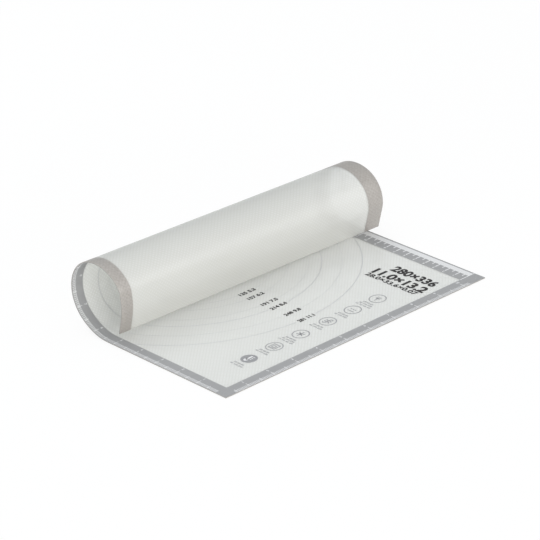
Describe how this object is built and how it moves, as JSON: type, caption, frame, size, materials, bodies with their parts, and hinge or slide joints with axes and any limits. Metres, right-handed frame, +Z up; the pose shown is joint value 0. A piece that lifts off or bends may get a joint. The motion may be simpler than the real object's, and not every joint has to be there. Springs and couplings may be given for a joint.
{
  "type": "silicone baking mat",
  "caption": "Thin laminated rectangular baking mat, flat in front with its rear part curled over into an open tube, and a printed border on three edges.",
  "frame": {"origin": "middle of the flat stretch's underside, 75 mm behind the front edge", "axes": "+X along the front edge to the right, +Y from the front edge back to the curl, +Z up"},
  "size_m": [0.2912, 0.1908, 0.0649],
  "materials": {
    "clear_silicone": "milky, satin, translucent",
    "glass_weave": "plain woven glass cloth",
    "grey_print": "matt silicone ink"
  },
  "bodies": {
    "root": {"underside_silicone": "clear_silicone", "fibreglass_mesh": "glass_weave", "edge_seal": "clear_silicone", "top_silicone": "clear_silicone", "printed_border": "grey_print"}
  },
  "joints": []
}
